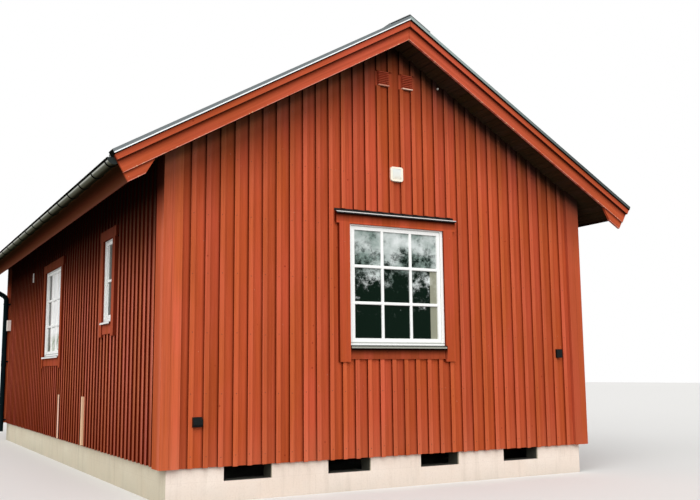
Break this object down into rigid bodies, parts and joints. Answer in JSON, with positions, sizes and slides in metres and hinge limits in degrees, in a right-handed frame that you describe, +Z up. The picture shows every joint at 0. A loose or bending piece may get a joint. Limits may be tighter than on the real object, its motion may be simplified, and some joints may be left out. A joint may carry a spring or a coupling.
{
  "type": "boathouse",
  "caption": "Timber boathouse clad in upright red boards, with a steep sheet roof, block plinth, casement windows, stepped bargeboards and a half-round gutter.",
  "frame": {"origin": "on the ground under the middle of the building's outer box", "axes": "+Z up, +Y along the ridge from the pictured front gable to the rear, +X to the right as seen from the front; the gutter is on the -X side"},
  "size_m": [6.4426, 10.838, 5.0943],
  "materials": {
    "blocks": "matt painted blocks",
    "floor_boards": "bare boards",
    "red_boards": "matt red paint, faded",
    "dark_red_boards": "matt red paint on the shaded long wall",
    "trim_boards": "matt red paint",
    "roof_boards": "stained boards",
    "grey_sheet": "weathered grey paint",
    "verge_metal": "pale grey paint",
    "gutter_metal": "dark green-grey paint",
    "pipe_metal": "black paint",
    "white_paint": "satin white paint",
    "panes": "clear",
    "flashing_metal": "grey paint",
    "door_boards": "matt red paint",
    "vent_plastic": "red",
    "hood_plastic": "cream",
    "black_plastic": "black"
  },
  "bodies": {
    "root": {"plinth_front": "blocks", "plinth_rear": "blocks", "plinth_left": "blocks", "plinth_right": "blocks", "floor": "floor_boards", "front_wall": "red_boards", "rear_wall": "red_boards", "left_wall": "dark_red_boards", "right_wall": "red_boards", "corner_boards_front": "trim_boards", "corner_boards_rear": "trim_boards", "roof_left": "roof_boards", "roof_right": "roof_boards", "roof_sheet_left": "grey_sheet", "roof_sheet_right": "grey_sheet", "ridge_cap": "grey_sheet", "lower_bargeboards_front": "trim_boards", "lower_bargeboards_rear": "trim_boards", "upper_bargeboards_front": "trim_boards", "upper_bargeboards_rear": "trim_boards", "foot_boards_front": "trim_boards", "foot_boards_rear": "trim_boards", "verge_strip_front": "verge_metal", "verge_strip_rear": "verge_metal", "fascia_left": "dark_red_boards", "fascia_right": "trim_boards", "gutter": "gutter_metal", "gutter_hooks": "gutter_metal", "swan_neck": "pipe_metal", "downpipe": "pipe_metal", "pipe_clamps": "pipe_metal", "window_front": "white_paint", "window_rear": "white_paint", "windows_left": "white_paint", "windows_right": "white_paint", "window_glass": "panes", "casings_front": "trim_boards", "casings_rear": "trim_boards", "casings_left": "dark_red_boards", "casings_right": "trim_boards", "window_flashings": "flashing_metal", "door_frame": "door_boards", "door": "door_boards", "gable_vents_front": "vent_plastic", "gable_vents_rear": "vent_plastic", "vent_hood": "hood_plastic", "outdoor_socket": "black_plastic", "box_lamp": "black_plastic"}
  },
  "joints": []
}
